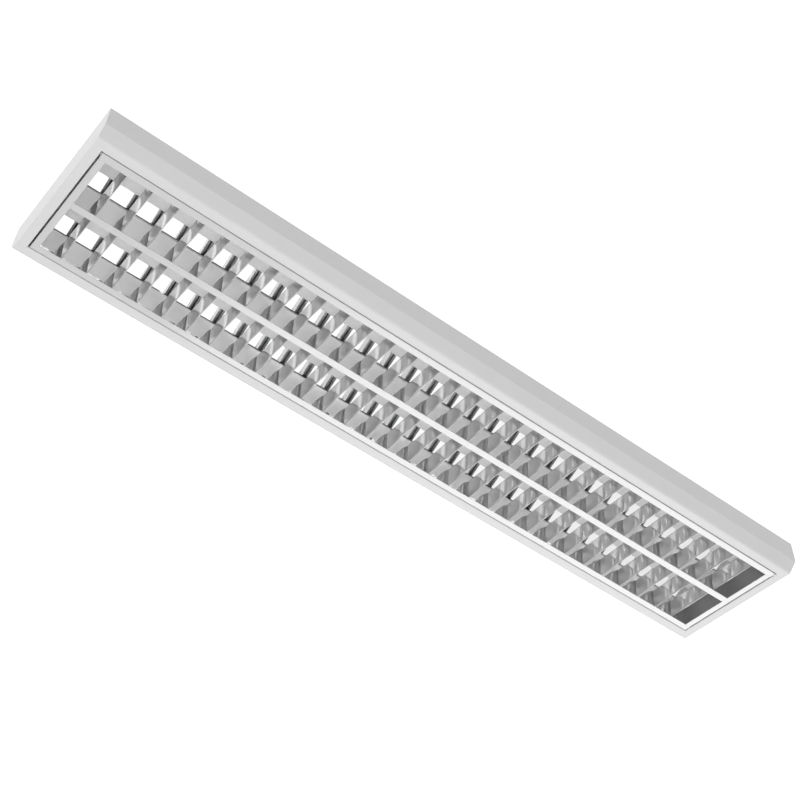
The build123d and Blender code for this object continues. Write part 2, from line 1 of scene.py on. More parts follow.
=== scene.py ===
import math
import bmesh
import bpy
from mathutils import Euler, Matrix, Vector


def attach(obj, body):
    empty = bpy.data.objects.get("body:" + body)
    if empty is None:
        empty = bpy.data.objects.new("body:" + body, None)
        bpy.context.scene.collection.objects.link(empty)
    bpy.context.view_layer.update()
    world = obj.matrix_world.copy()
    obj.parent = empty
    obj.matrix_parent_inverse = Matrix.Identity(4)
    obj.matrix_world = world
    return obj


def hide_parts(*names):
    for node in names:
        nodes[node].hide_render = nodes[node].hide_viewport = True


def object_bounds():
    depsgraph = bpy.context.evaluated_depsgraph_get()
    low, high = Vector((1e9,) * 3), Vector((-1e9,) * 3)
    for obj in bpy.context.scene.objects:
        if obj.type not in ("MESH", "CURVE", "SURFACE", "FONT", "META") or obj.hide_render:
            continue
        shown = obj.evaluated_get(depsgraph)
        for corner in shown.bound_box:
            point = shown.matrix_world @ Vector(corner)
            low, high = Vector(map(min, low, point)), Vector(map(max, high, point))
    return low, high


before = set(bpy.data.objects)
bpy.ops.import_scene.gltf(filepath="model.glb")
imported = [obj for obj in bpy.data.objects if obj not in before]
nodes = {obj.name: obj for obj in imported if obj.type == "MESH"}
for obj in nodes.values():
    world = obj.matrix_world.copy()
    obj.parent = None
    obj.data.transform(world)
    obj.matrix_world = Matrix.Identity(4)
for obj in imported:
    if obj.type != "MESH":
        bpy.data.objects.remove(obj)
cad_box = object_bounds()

scene = bpy.context.scene

# Viewpoint. The photograph looks up at the light from below its left end, with a long lens.
# The place and turn come from the corners of the louvre opening and of the ceiling face.
viewpoint = bpy.data.objects.new("viewpoint", bpy.data.cameras.new("viewpoint"))
viewpoint.data.sensor_width = 36.0
viewpoint.data.lens = 66.26
viewpoint.data.clip_end = 60.0
viewpoint.location = (-0.8502, -1.1662, -1.5001)
viewpoint.rotation_euler = Euler((2.374418, -0.063646, -0.661084))
scene.collection.objects.link(viewpoint)
scene.camera = viewpoint
scene.view_settings.view_transform = "Standard"

# Studio. A white room, greyer on the near side and round the horizon but not beyond the left end,
# so the end plate is the brightest wall of the body and its long near wall the darkest.


def add_node(tree, kind, values=None, links=None, **settings):
    """One shader node: its options, the values of its free inputs and the links to the others."""
    made = tree.nodes.new(kind)
    for name, value in settings.items():
        setattr(made, name, value)
    for name, value in (values or {}).items():
        made.inputs[name].default_value = value
    for name, socket in (links or {}).items():
        tree.links.new(socket, made.inputs[name])
    return made


room = bpy.data.worlds.new("studio")
room.use_nodes = True
scene.world = room
tree = room.node_tree
tree.nodes.clear()
direction = add_node(tree, "ShaderNodeTexCoord")
parts = add_node(tree, "ShaderNodeSeparateXYZ", links={"Vector": direction.outputs["Generated"]})
height = add_node(
    tree, "ShaderNodeMapRange", {"From Min": -0.06, "From Max": 0.14}, {"Value": parts.outputs["Z"]}
)
nearer = add_node(
    tree, "ShaderNodeMapRange", {"From Min": -0.5, "From Max": 0.1}, {"Value": parts.outputs["Y"]}
)
beyond = add_node(
    tree, "ShaderNodeMapRange", {"From Min": -0.2, "From Max": -0.8}, {"Value": parts.outputs["X"]}
)
above = add_node(
    tree,
    "ShaderNodeMix",
    {"A": (0.65, 0.65, 0.65, 1), "B": (1.15, 1.15, 1.15, 1)},
    {"Factor": nearer.outputs["Result"]},
    data_type="RGBA",
)
long_side = add_node(
    tree,
    "ShaderNodeMix",
    {"A": (0.5, 0.5, 0.5, 1)},
    {"Factor": height.outputs["Result"], "B": above.outputs["Result"]},
    data_type="RGBA",
)
shade = add_node(
    tree,
    "ShaderNodeMix",
    {"B": (1.15, 1.15, 1.15, 1)},
    {"Factor": beyond.outputs["Result"], "A": long_side.outputs["Result"]},
    data_type="RGBA",
)
glow = add_node(tree, "ShaderNodeBackground", {"Strength": 1.0}, {"Color": shade.outputs["Result"]})
add_node(tree, "ShaderNodeOutputWorld", links={"Surface": glow.outputs["Background"]})

# Housing and end plates. One folded steel sheet with a slanted lower edge and a flange round the
# opening, closed by a welded plate at each end, all powder coated white inside and out.
mm = 0.001


def linear(colour):
    """The linear RGBA of an sRGB hex colour."""
    channels = [int(colour[place:place + 2], 16) / 255 for place in (1, 3, 5)]
    return [c / 12.92 if c < 0.04045 else ((c + 0.055) / 1.055) ** 2.4 for c in channels] + [1.0]


def finish_named(name):
    """A new finish with an empty tree, ready for its pattern, shader and output."""
    made = bpy.data.materials.new(name)
    made.use_nodes = True
    made.node_tree.nodes.clear()
    return made, made.node_tree


def coat(finish, *starts):
    """Give a finish to the CAD pieces whose names start with these words."""
    for piece in nodes.values():
        if piece.name.startswith(starts):
            piece.material_slots[0].material = finish


# White polyester powder coat: a soft gloss over a fine orange peel, and a tone that drifts a little.
powder_white, tree = finish_named("white powder coat")
place = add_node(tree, "ShaderNodeTexCoord")
peel = add_node(
    tree, "ShaderNodeTexNoise", {"Scale": 1 / (2.4 * mm), "Detail": 2.0}, {"Vector": place.outputs["Object"]}
)
bump = add_node(
    tree, "ShaderNodeBump", {"Strength": 0.05, "Distance": 0.4 * mm}, {"Height": peel.outputs["Fac"]}
)
cloud = add_node(
    tree, "ShaderNodeTexNoise", {"Scale": 1 / (110 * mm), "Detail": 4.0}, {"Vector": place.outputs["Object"]}
)
gloss = add_node(
    tree, "ShaderNodeMapRange", {"To Min": 0.34, "To Max": 0.46}, {"Value": cloud.outputs["Fac"]}
)
tone = add_node(
    tree,
    "ShaderNodeMix",
    {"A": linear("#D8D8D8"), "B": linear("#DDDDDD")},
    {"Factor": cloud.outputs["Fac"]},
    data_type="RGBA",
)
shader = add_node(
    tree,
    "ShaderNodeBsdfPrincipled",
    {"IOR": 1.5},
    {
        "Base Color": tone.outputs["Result"],
        "Roughness": gloss.outputs["Result"],
        "Normal": bump.outputs["Normal"],
    },
)
add_node(tree, "ShaderNodeOutputMaterial", links={"Surface": shader.outputs["BSDF"]})
coat(powder_white, "housing", "end_plate")

# Weld studs. Threaded steel studs, zinc plated, welded under the roof of the housing to carry the
# reflectors, the driver, the terminal block, the earth tag and the pivot brackets.

# Zinc plated thread: its turns, drawn at 1 mm because their real 0.7 mm is too fine to show.
# Its tone is painted shade in the roots of the turns and a painted highlight on their crests.
thread_pitch = 1.0 * mm
zinc_thread, tree = finish_named("zinc plated thread")
place = add_node(tree, "ShaderNodeTexCoord")
turns = add_node(
    tree,
    "ShaderNodeTexWave",
    {"Scale": math.pi / 10 / thread_pitch},
    {"Vector": place.outputs["Object"]},
    wave_type="BANDS",
    bands_direction="Z",
)
bump = add_node(
    tree, "ShaderNodeBump", {"Strength": 0.8, "Distance": 0.4 * mm}, {"Height": turns.outputs["Fac"]}
)
# Painted shade and highlight: darker in the roots of the turns, lighter on their crests.
tone = add_node(
    tree,
    "ShaderNodeMix",
    {"A": linear("#8D9196"), "B": linear("#C4C8CD")},
    {"Factor": turns.outputs["Fac"]},
    data_type="RGBA",
)
shader = add_node(
    tree,
    "ShaderNodeBsdfPrincipled",
    {"Metallic": 1.0, "Roughness": 0.34},
    {"Base Color": tone.outputs["Result"], "Normal": bump.outputs["Normal"]},
)
add_node(tree, "ShaderNodeOutputMaterial", links={"Surface": shader.outputs["BSDF"]})
coat(zinc_thread, "weld_studs")

# Catch springs. Two strips of spring steel, bent to a bump and welded on the flange, which press on
# the free side of the louvre and hold it shut.

# Spring strip: rolled steel with fine lines along the strip and the straw tint of its tempering.
spring_strip, tree = finish_named("tempered spring strip")
place = add_node(tree, "ShaderNodeTexCoord")
along = add_node(
    tree,
    "ShaderNodeMapping",
    {"Scale": (1 / (0.8 * mm), 1 / (15 * mm), 1 / (15 * mm))},
    {"Vector": place.outputs["Object"]},
)
lines = add_node(
    tree, "ShaderNodeTexNoise", {"Scale": 1.0, "Detail": 3.0}, {"Vector": along.outputs["Vector"]}
)
haze = add_node(
    tree, "ShaderNodeMapRange", {"To Min": 0.2, "To Max": 0.36}, {"Value": lines.outputs["Fac"]}
)
tint = add_node(
    tree, "ShaderNodeTexNoise", {"Scale": 1 / (10 * mm), "Detail": 2.0}, {"Vector": place.outputs["Object"]}
)
tone = add_node(
    tree,
    "ShaderNodeMix",
    {"A": linear("#A3A7AD"), "B": linear("#A9A08C")},
    {"Factor": tint.outputs["Fac"]},
    data_type="RGBA",
)
shader = add_node(
    tree,
    "ShaderNodeBsdfPrincipled",
    {"Metallic": 1.0},
    {"Base Color": tone.outputs["Result"], "Roughness": haze.outputs["Result"]},
)
add_node(tree, "ShaderNodeOutputMaterial", links={"Surface": shader.outputs["BSDF"]})
coat(spring_strip, "catch_spring")

# Cable grommet. A ring of moulded black rubber with a flange under the roof, pushed up into the hole
# there from inside. Its bore lets the supply cable in.

# Black rubber: matt, with a fine grain from the mould and a grey bloom.
black_rubber, tree = finish_named("black moulded rubber")
place = add_node(tree, "ShaderNodeTexCoord")
grain = add_node(
    tree, "ShaderNodeTexNoise", {"Scale": 1 / (0.9 * mm), "Detail": 3.0}, {"Vector": place.outputs["Object"]}
)
bump = add_node(
    tree, "ShaderNodeBump", {"Strength": 0.3, "Distance": 0.2 * mm}, {"Height": grain.outputs["Fac"]}
)
bloom = add_node(
    tree, "ShaderNodeTexNoise", {"Scale": 1 / (7 * mm), "Detail": 4.0}, {"Vector": place.outputs["Object"]}
)
tone = add_node(
    tree,
    "ShaderNodeMix",
    {"A": linear("#161617"), "B": linear("#2C2C2D")},
    {"Factor": bloom.outputs["Fac"]},
    data_type="RGBA",
)
shader = add_node(
    tree,
    "ShaderNodeBsdfPrincipled",
    {"Roughness": 0.68},
    {"Base Color": tone.outputs["Result"], "Normal": bump.outputs["Normal"]},
)
add_node(tree, "ShaderNodeOutputMaterial", links={"Surface": shader.outputs["BSDF"]})
coat(black_rubber, "cable_grommet")

# Driver case and lid. A long narrow box of thin steel, open downwards, with a tab for a stud at each
# end, and a lid pushed in from below with a lip inside the case.

# Thin coated steel: off-white stoving paint with rolling marks in it and a few rubbed places.
stoving_paint, tree = finish_named("off-white stoving paint")
place = add_node(tree, "ShaderNodeTexCoord")
along = add_node(
    tree,
    "ShaderNodeMapping",
    {"Scale": (1 / (60 * mm), 1 / (1.2 * mm), 1 / (1.2 * mm))},
    {"Vector": place.outputs["Object"]},
)
lines = add_node(
    tree, "ShaderNodeTexNoise", {"Scale": 1.0, "Detail": 3.0}, {"Vector": along.outputs["Vector"]}
)
bump = add_node(
    tree, "ShaderNodeBump", {"Strength": 0.1, "Distance": 0.1 * mm}, {"Height": lines.outputs["Fac"]}
)
rubbed = add_node(
    tree, "ShaderNodeTexNoise", {"Scale": 1 / (25 * mm), "Detail": 5.0}, {"Vector": place.outputs["Object"]}
)
gloss = add_node(
    tree, "ShaderNodeMapRange", {"To Min": 0.28, "To Max": 0.55}, {"Value": rubbed.outputs["Fac"]}
)
tone = add_node(
    tree,
    "ShaderNodeMix",
    {"A": linear("#E2E1DC"), "B": linear("#D3D2CC")},
    {"Factor": rubbed.outputs["Fac"]},
    data_type="RGBA",
)
shader = add_node(
    tree,
    "ShaderNodeBsdfPrincipled",
    links={
        "Base Color": tone.outputs["Result"],
        "Roughness": gloss.outputs["Result"],
        "Normal": bump.outputs["Normal"],
    },
)
add_node(tree, "ShaderNodeOutputMaterial", links={"Surface": shader.outputs["BSDF"]})
coat(stoving_paint, "driver_case", "driver_lid")

# Driver circuit. A board of glass fibre sheet that lies on the lip of the lid, with its transformer
# and two capacitors soldered on top.
board_top = -15.8 * mm

# Circuit board: green resist with copper tracks in small blocks, and the dark parts that stand on it.
# The height tells them apart, from just above the top face of the board.
circuit_green, tree = finish_named("green board with dark parts")
place = add_node(tree, "ShaderNodeTexCoord")
tracks = add_node(
    tree,
    "ShaderNodeTexBrick",
    {
        "Scale": 1 / (8 * mm),
        "Color1": linear("#1F6B3C"),
        "Color2": linear("#175530"),
        "Mortar": linear("#7FA35A"),
        "Mortar Size": 0.06,
    },
    {"Vector": place.outputs["Object"]},
)
parts = add_node(tree, "ShaderNodeSeparateXYZ", links={"Vector": place.outputs["Object"]})
above = add_node(
    tree,
    "ShaderNodeMapRange",
    {"From Min": board_top + 0.05 * mm, "From Max": board_top + 0.15 * mm},
    {"Value": parts.outputs["Z"]},
)
tone = add_node(
    tree,
    "ShaderNodeMix",
    {"B": linear("#2A2622")},
    {"A": tracks.outputs["Color"], "Factor": above.outputs["Result"]},
    data_type="RGBA",
)
shader = add_node(
    tree, "ShaderNodeBsdfPrincipled", {"Roughness": 0.38}, {"Base Color": tone.outputs["Result"]}
)
add_node(tree, "ShaderNodeOutputMaterial", links={"Surface": shader.outputs["BSDF"]})
coat(circuit_green, "driver_circuit")

# Driver sockets. Two push-in sockets moulded from white nylon, which look out of the ends of the
# case, one for the mains wires and one for the leads to the boards.

# Moulded white nylon: slightly waxy, with soft flow marks and a fine texture from the mould.
white_nylon, tree = finish_named("moulded white nylon")
place = add_node(tree, "ShaderNodeTexCoord")
flow = add_node(
    tree, "ShaderNodeTexNoise", {"Scale": 1 / (6 * mm), "Detail": 3.0}, {"Vector": place.outputs["Object"]}
)
grain = add_node(
    tree, "ShaderNodeTexNoise", {"Scale": 1 / (0.7 * mm), "Detail": 2.0}, {"Vector": place.outputs["Object"]}
)
bump = add_node(
    tree, "ShaderNodeBump", {"Strength": 0.12, "Distance": 0.1 * mm}, {"Height": grain.outputs["Fac"]}
)
tone = add_node(
    tree,
    "ShaderNodeMix",
    {"A": linear("#E9E8E4"), "B": linear("#DCDBD5")},
    {"Factor": flow.outputs["Fac"]},
    data_type="RGBA",
)
gloss = add_node(
    tree, "ShaderNodeMapRange", {"To Min": 0.36, "To Max": 0.54}, {"Value": flow.outputs["Fac"]}
)
shader = add_node(
    tree,
    "ShaderNodeBsdfPrincipled",
    {"IOR": 1.53},
    {
        "Base Color": tone.outputs["Result"],
        "Roughness": gloss.outputs["Result"],
        "Normal": bump.outputs["Normal"],
    },
)
add_node(tree, "ShaderNodeOutputMaterial", links={"Surface": shader.outputs["BSDF"]})
coat(white_nylon, "driver_sockets")

# Terminal block. Moulded from off-white nylon with three wire holes at each end, and held under the
# roof by one stud.

# Off-white terminal nylon: creamier and glossier than the white one, with cloudy flow marks.
terminal_nylon, tree = finish_named("moulded off-white nylon")
place = add_node(tree, "ShaderNodeTexCoord")
flow = add_node(
    tree, "ShaderNodeTexNoise", {"Scale": 1 / (5 * mm), "Detail": 3.0}, {"Vector": place.outputs["Object"]}
)
tone = add_node(
    tree,
    "ShaderNodeMix",
    {"A": linear("#E4DFCB"), "B": linear("#D3CCB4")},
    {"Factor": flow.outputs["Fac"]},
    data_type="RGBA",
)
gloss = add_node(
    tree, "ShaderNodeMapRange", {"To Min": 0.3, "To Max": 0.48}, {"Value": flow.outputs["Fac"]}
)
shader = add_node(
    tree,
    "ShaderNodeBsdfPrincipled",
    {"IOR": 1.53},
    {"Base Color": tone.outputs["Result"], "Roughness": gloss.outputs["Result"]},
)
add_node(tree, "ShaderNodeOutputMaterial", links={"Surface": shader.outputs["BSDF"]})
coat(terminal_nylon, "terminal_block")

# Earth tag. A small flat tag punched from brass sheet and tinned, held against the roof by the earth
# nut, with a tongue for the wire.

# Tinned brass: a soft silver with the yellow of the brass coming through in small worn patches.
tinned_brass, tree = finish_named("tinned brass")
place = add_node(tree, "ShaderNodeTexCoord")
worn = add_node(
    tree, "ShaderNodeTexNoise", {"Scale": 1 / (4 * mm), "Detail": 5.0}, {"Vector": place.outputs["Object"]}
)
patch = add_node(
    tree, "ShaderNodeMapRange", {"From Min": 0.52, "From Max": 0.66}, {"Value": worn.outputs["Fac"]}
)
tone = add_node(
    tree,
    "ShaderNodeMix",
    {"A": linear("#CBC8BC"), "B": linear("#C2A562")},
    {"Factor": patch.outputs["Result"]},
    data_type="RGBA",
)
shader = add_node(
    tree,
    "ShaderNodeBsdfPrincipled",
    {"Metallic": 1.0, "Roughness": 0.36},
    {"Base Color": tone.outputs["Result"]},
)
add_node(tree, "ShaderNodeOutputMaterial", links={"Surface": shader.outputs["BSDF"]})
coat(tinned_brass, "earth_tag")

# Wires. Single wires with PVC insulation, 2 mm thick: brown live and blue neutral to the driver,
# and a white and a grey lead from the driver down to the boards.

# PVC insulation: satin plastic, with faint lengthwise lines from the extruder that deepen its colour.
for start, name, light_tone, deep_tone in (
    ("live_wire", "brown PVC insulation", "#6A4128", "#55301B"),
    ("neutral_wire", "blue PVC insulation", "#2F62B0", "#224E95"),
    ("led_lead_hinge_side", "white PVC insulation", "#EAEAE6", "#DADAD4"),
    ("led_lead_catch_side", "grey PVC insulation", "#868789", "#737476"),
):
    insulation, tree = finish_named(name)
    place = add_node(tree, "ShaderNodeTexCoord")
    along = add_node(
        tree,
        "ShaderNodeMapping",
        {"Scale": (1 / (20 * mm), 1 / (0.8 * mm), 1 / (0.8 * mm))},
        {"Vector": place.outputs["Object"]},
    )
    lines = add_node(
        tree, "ShaderNodeTexNoise", {"Scale": 1.0, "Detail": 2.0}, {"Vector": along.outputs["Vector"]}
    )
    tone = add_node(
        tree,
        "ShaderNodeMix",
        {"A": linear(light_tone), "B": linear(deep_tone)},
        {"Factor": lines.outputs["Fac"]},
        data_type="RGBA",
    )
    gloss = add_node(
        tree, "ShaderNodeMapRange", {"To Min": 0.3, "To Max": 0.5}, {"Value": lines.outputs["Fac"]}
    )
    shader = add_node(
        tree,
        "ShaderNodeBsdfPrincipled",
        {"IOR": 1.53},
        {"Base Color": tone.outputs["Result"], "Roughness": gloss.outputs["Result"]},
    )
    add_node(tree, "ShaderNodeOutputMaterial", links={"Surface": shader.outputs["BSDF"]})
    coat(insulation, start)

# Earth wire. The same kind of wire with two-coloured PVC, which runs from the terminal block to the
# underside of the earth tag's tongue.

# Green and yellow insulation: a yellow stripe down each side of a green wire.
earth_pvc, tree = finish_named("green and yellow PVC insulation")
place = add_node(tree, "ShaderNodeTexCoord")
facing = add_node(tree, "ShaderNodeSeparateXYZ", links={"Vector": place.outputs["Normal"]})
sideways = add_node(tree, "ShaderNodeMath", links={0: facing.outputs["Z"]}, operation="ABSOLUTE")
stripe = add_node(
    tree, "ShaderNodeMapRange", {"From Min": 0.62, "From Max": 0.52}, {"Value": sideways.outputs["Value"]}
)
tone = add_node(
    tree,
    "ShaderNodeMix",
    {"A": linear("#2F7D3C"), "B": linear("#E0C63A")},
    {"Factor": stripe.outputs["Result"]},
    data_type="RGBA",
)
shader = add_node(
    tree,
    "ShaderNodeBsdfPrincipled",
    {"Roughness": 0.42, "IOR": 1.53},
    {"Base Color": tone.outputs["Result"]},
)
add_node(tree, "ShaderNodeOutputMaterial", links={"Surface": shader.outputs["BSDF"]})
coat(earth_pvc, "earth_wire")

# LED boards. Two metal-core boards end to end under each crown, cut from aluminium sheet with a
# copper track and white resist on their lower face.
lane_middle = 44.25 * mm
track_half = 3.25 * mm
track_edge = 0.5 * mm

# White solder resist: smooth and white, with the copper track down the middle just showing.
board_white, tree = finish_named("white solder resist")
place = add_node(tree, "ShaderNodeTexCoord")
parts = add_node(tree, "ShaderNodeSeparateXYZ", links={"Vector": place.outputs["Object"]})
across = add_node(
    tree, "ShaderNodeMath", {1: lane_middle}, {0: parts.outputs["Y"]}, operation="PINGPONG"
)
track = add_node(
    tree,
    "ShaderNodeMapRange",
    {"From Min": lane_middle - track_half - track_edge, "From Max": lane_middle - track_half},
    {"Value": across.outputs["Value"]},
)
tone = add_node(
    tree,
    "ShaderNodeMix",
    {"A": linear("#EDEDE8"), "B": linear("#DDDCD2")},
    {"Factor": track.outputs["Result"]},
    data_type="RGBA",
)
grain = add_node(
    tree, "ShaderNodeTexNoise", {"Scale": 1 / (3 * mm), "Detail": 2.0}, {"Vector": place.outputs["Object"]}
)
gloss = add_node(
    tree, "ShaderNodeMapRange", {"To Min": 0.42, "To Max": 0.6}, {"Value": grain.outputs["Fac"]}
)
shader = add_node(
    tree,
    "ShaderNodeBsdfPrincipled",
    links={"Base Color": tone.outputs["Result"], "Roughness": gloss.outputs["Result"]},
)
add_node(tree, "ShaderNodeOutputMaterial", links={"Surface": shader.outputs["BSDF"]})
coat(board_white, "led_boards")

# LED packages. Small white moulded packages soldered on the boards, every 20 mm from 10.5 mm off the
# middle of the light, each with a window of yellow phosphor.
package_spacing = 20 * mm
first_package = 10.5 * mm
window_half = 1.2 * mm
window_edge = 0.15 * mm

# Phosphor window: the distance along the light tells the yellow window from the white rim.
led_package, tree = finish_named("phosphor in white packages")
place = add_node(tree, "ShaderNodeTexCoord")
parts = add_node(tree, "ShaderNodeSeparateXYZ", links={"Vector": place.outputs["Object"]})
out = add_node(tree, "ShaderNodeMath", links={0: parts.outputs["X"]}, operation="ABSOLUTE")
past = add_node(
    tree, "ShaderNodeMath", {1: first_package}, {0: out.outputs["Value"]}, operation="SUBTRACT"
)
off = add_node(
    tree, "ShaderNodeMath", {1: package_spacing / 2}, {0: past.outputs["Value"]}, operation="PINGPONG"
)
window = add_node(
    tree,
    "ShaderNodeMapRange",
    {"From Min": window_half + window_edge, "From Max": window_half},
    {"Value": off.outputs["Value"]},
)
tone = add_node(
    tree,
    "ShaderNodeMix",
    {"A": linear("#EFEEE9"), "B": linear("#E6CB5E")},
    {"Factor": window.outputs["Result"]},
    data_type="RGBA",
)
shader = add_node(
    tree, "ShaderNodeBsdfPrincipled", {"Roughness": 0.28, "IOR": 1.45}, {"Base Color": tone.outputs["Result"]}
)
add_node(tree, "ShaderNodeOutputMaterial", links={"Surface": shader.outputs["BSDF"]})
coat(led_package, "led_chips")

# Board links. One small plug link of white nylon between the two boards of each lane, pushed on
# where they meet.
coat(white_nylon, "board_link")

# Top reflectors. One over each lane, folded from bright aluminium sheet: feet on the studs, legs,
# a wing along each side and a crown that carries the boards.

# Bright anodised aluminium: nearly a mirror, with faint rolling lines 2 mm apart along the light.
bright_aluminium, tree = finish_named("bright anodised aluminium")
place = add_node(tree, "ShaderNodeTexCoord")
along = add_node(
    tree,
    "ShaderNodeMapping",
    {"Scale": (1 / (250 * mm), 1 / (2 * mm), 1 / (2 * mm))},
    {"Vector": place.outputs["Object"]},
)
lines = add_node(
    tree, "ShaderNodeTexNoise", {"Scale": 1.0, "Detail": 3.0}, {"Vector": along.outputs["Vector"]}
)
haze = add_node(
    tree, "ShaderNodeMapRange", {"To Min": 0.02, "To Max": 0.045}, {"Value": lines.outputs["Fac"]}
)
tone = add_node(
    tree,
    "ShaderNodeMix",
    {"A": linear("#F2F2F2"), "B": linear("#FBFBFB")},
    {"Factor": lines.outputs["Fac"]},
    data_type="RGBA",
)
shader = add_node(
    tree,
    "ShaderNodeBsdfPrincipled",
    {"Metallic": 1.0},
    {"Base Color": tone.outputs["Result"], "Roughness": haze.outputs["Result"]},
)
add_node(tree, "ShaderNodeOutputMaterial", links={"Surface": shader.outputs["BSDF"]})
coat(bright_aluminium, "top_reflector")

# Opal covers. Strips of extruded acrylic, pushed into the channel under each crown so that no single
# LED shows.

# Opal acrylic: milky and even, with faint lines along it from the extruder.
opal_acrylic, tree = finish_named("opal acrylic")
place = add_node(tree, "ShaderNodeTexCoord")
along = add_node(
    tree,
    "ShaderNodeMapping",
    {"Scale": (1 / (300 * mm), 1 / (1.5 * mm), 1 / (1.5 * mm))},
    {"Vector": place.outputs["Object"]},
)
lines = add_node(
    tree, "ShaderNodeTexNoise", {"Scale": 1.0, "Detail": 2.0}, {"Vector": along.outputs["Vector"]}
)
gloss = add_node(
    tree, "ShaderNodeMapRange", {"To Min": 0.3, "To Max": 0.5}, {"Value": lines.outputs["Fac"]}
)
tone = add_node(
    tree,
    "ShaderNodeMix",
    {"A": linear("#EFEFEF"), "B": linear("#F7F7F7")},
    {"Factor": lines.outputs["Fac"]},
    data_type="RGBA",
)
shader = add_node(
    tree,
    "ShaderNodeBsdfPrincipled",
    {"IOR": 1.49},
    {"Base Color": tone.outputs["Result"], "Roughness": gloss.outputs["Result"]},
)
add_node(tree, "ShaderNodeOutputMaterial", links={"Surface": shader.outputs["BSDF"]})
coat(opal_acrylic, "opal_cover")

# Nuts. Hexagon nuts of zinc plated steel, screwed up the studs against the reflectors, the driver,
# the terminal block, the earth tag and the pivot brackets.

# Bright zinc plate: a bluish metal with a fine spangle and yellower patches where hands have dulled it.
zinc_plate, tree = finish_named("bright zinc plate")
place = add_node(tree, "ShaderNodeTexCoord")
spangle = add_node(
    tree, "ShaderNodeTexVoronoi", {"Scale": 1 / (1.5 * mm)}, {"Vector": place.outputs["Object"]}, feature="F1"
)
dull = add_node(
    tree, "ShaderNodeTexNoise", {"Scale": 1 / (9 * mm), "Detail": 3.0}, {"Vector": place.outputs["Object"]}
)
tone = add_node(
    tree,
    "ShaderNodeMix",
    {"A": linear("#C2C6CC"), "B": linear("#B5B2A6")},
    {"Factor": dull.outputs["Fac"]},
    data_type="RGBA",
)
haze = add_node(
    tree, "ShaderNodeMapRange", {"To Min": 0.24, "To Max": 0.46}, {"Value": spangle.outputs["Distance"]}
)
shader = add_node(
    tree,
    "ShaderNodeBsdfPrincipled",
    {"Metallic": 1.0},
    {"Base Color": tone.outputs["Result"], "Roughness": haze.outputs["Result"]},
)
add_node(tree, "ShaderNodeOutputMaterial", links={"Surface": shader.outputs["BSDF"]})
coat(zinc_plate, "reflector_nuts", "driver_nuts", "bracket_nuts", "terminal_nut", "earth_nut")

# Louvre frame. Two long side rails, two end rails between them and a flat centre rail, folded from
# steel sheet and coated white, glossier than the body, so they mirror the softbox beyond the far end.

# Glossy white coat: smoother than the body's, with a clear skin and a shallow orange peel.
gloss_white, tree = finish_named("glossy white coat")
place = add_node(tree, "ShaderNodeTexCoord")
peel = add_node(
    tree, "ShaderNodeTexNoise", {"Scale": 1 / (3.5 * mm), "Detail": 2.0}, {"Vector": place.outputs["Object"]}
)
bump = add_node(
    tree, "ShaderNodeBump", {"Strength": 0.04, "Distance": 0.3 * mm}, {"Height": peel.outputs["Fac"]}
)
cloud = add_node(
    tree, "ShaderNodeTexNoise", {"Scale": 1 / (80 * mm), "Detail": 3.0}, {"Vector": place.outputs["Object"]}
)
gloss = add_node(
    tree, "ShaderNodeMapRange", {"To Min": 0.2, "To Max": 0.3}, {"Value": cloud.outputs["Fac"]}
)
tone = add_node(
    tree,
    "ShaderNodeMix",
    {"A": linear("#CACACA"), "B": linear("#CFCFCF")},
    {"Factor": cloud.outputs["Fac"]},
    data_type="RGBA",
)
shader = add_node(
    tree,
    "ShaderNodeBsdfPrincipled",
    {"IOR": 1.5, "Coat Weight": 1.0, "Coat Roughness": 0.12},
    {
        "Base Color": tone.outputs["Result"],
        "Roughness": gloss.outputs["Result"],
        "Normal": bump.outputs["Normal"],
    },
)
add_node(tree, "ShaderNodeOutputMaterial", links={"Surface": shader.outputs["BSDF"]})
coat(gloss_white, "louvre_side_rail", "louvre_end_rail", "louvre_centre_rail")

# Side reflectors. Thin anodised sheet along both sides of each lane, with a foot on the rail and a
# hollow wall that leans in over the lane.

# Semi-specular anodised aluminium: a clear mirror with a light haze, rolling lines along the light
# and a slow waviness from the rollers.
hazy_aluminium, tree = finish_named("semi-specular anodised aluminium")
place = add_node(tree, "ShaderNodeTexCoord")
along = add_node(
    tree,
    "ShaderNodeMapping",
    {"Scale": (1 / (250 * mm), 1 / (2 * mm), 1 / (2 * mm))},
    {"Vector": place.outputs["Object"]},
)
lines = add_node(
    tree, "ShaderNodeTexNoise", {"Scale": 1.0, "Detail": 3.0}, {"Vector": along.outputs["Vector"]}
)
haze = add_node(
    tree, "ShaderNodeMapRange", {"To Min": 0.02, "To Max": 0.045}, {"Value": lines.outputs["Fac"]}
)
tone = add_node(
    tree,
    "ShaderNodeMix",
    {"A": linear("#F2F2F2"), "B": linear("#FAFAFA")},
    {"Factor": lines.outputs["Fac"]},
    data_type="RGBA",
)
upright = add_node(
    tree,
    "ShaderNodeMapping",
    {"Scale": (1 / (14 * mm), 1 / (70 * mm), 1 / (70 * mm))},
    {"Vector": place.outputs["Object"]},
)
waves = add_node(
    tree, "ShaderNodeTexNoise", {"Scale": 1.0, "Detail": 1.0}, {"Vector": upright.outputs["Vector"]}
)
bump = add_node(
    tree, "ShaderNodeBump", {"Strength": 1.0, "Distance": 0.35 * mm}, {"Height": waves.outputs["Fac"]}
)
shader = add_node(
    tree,
    "ShaderNodeBsdfPrincipled",
    {"Metallic": 1.0},
    {
        "Base Color": tone.outputs["Result"],
        "Roughness": haze.outputs["Result"],
        "Normal": bump.outputs["Normal"],
    },
)
add_node(tree, "ShaderNodeOutputMaterial", links={"Surface": shader.outputs["BSDF"]})
coat(hazy_aluminium, "louvre_reflector")
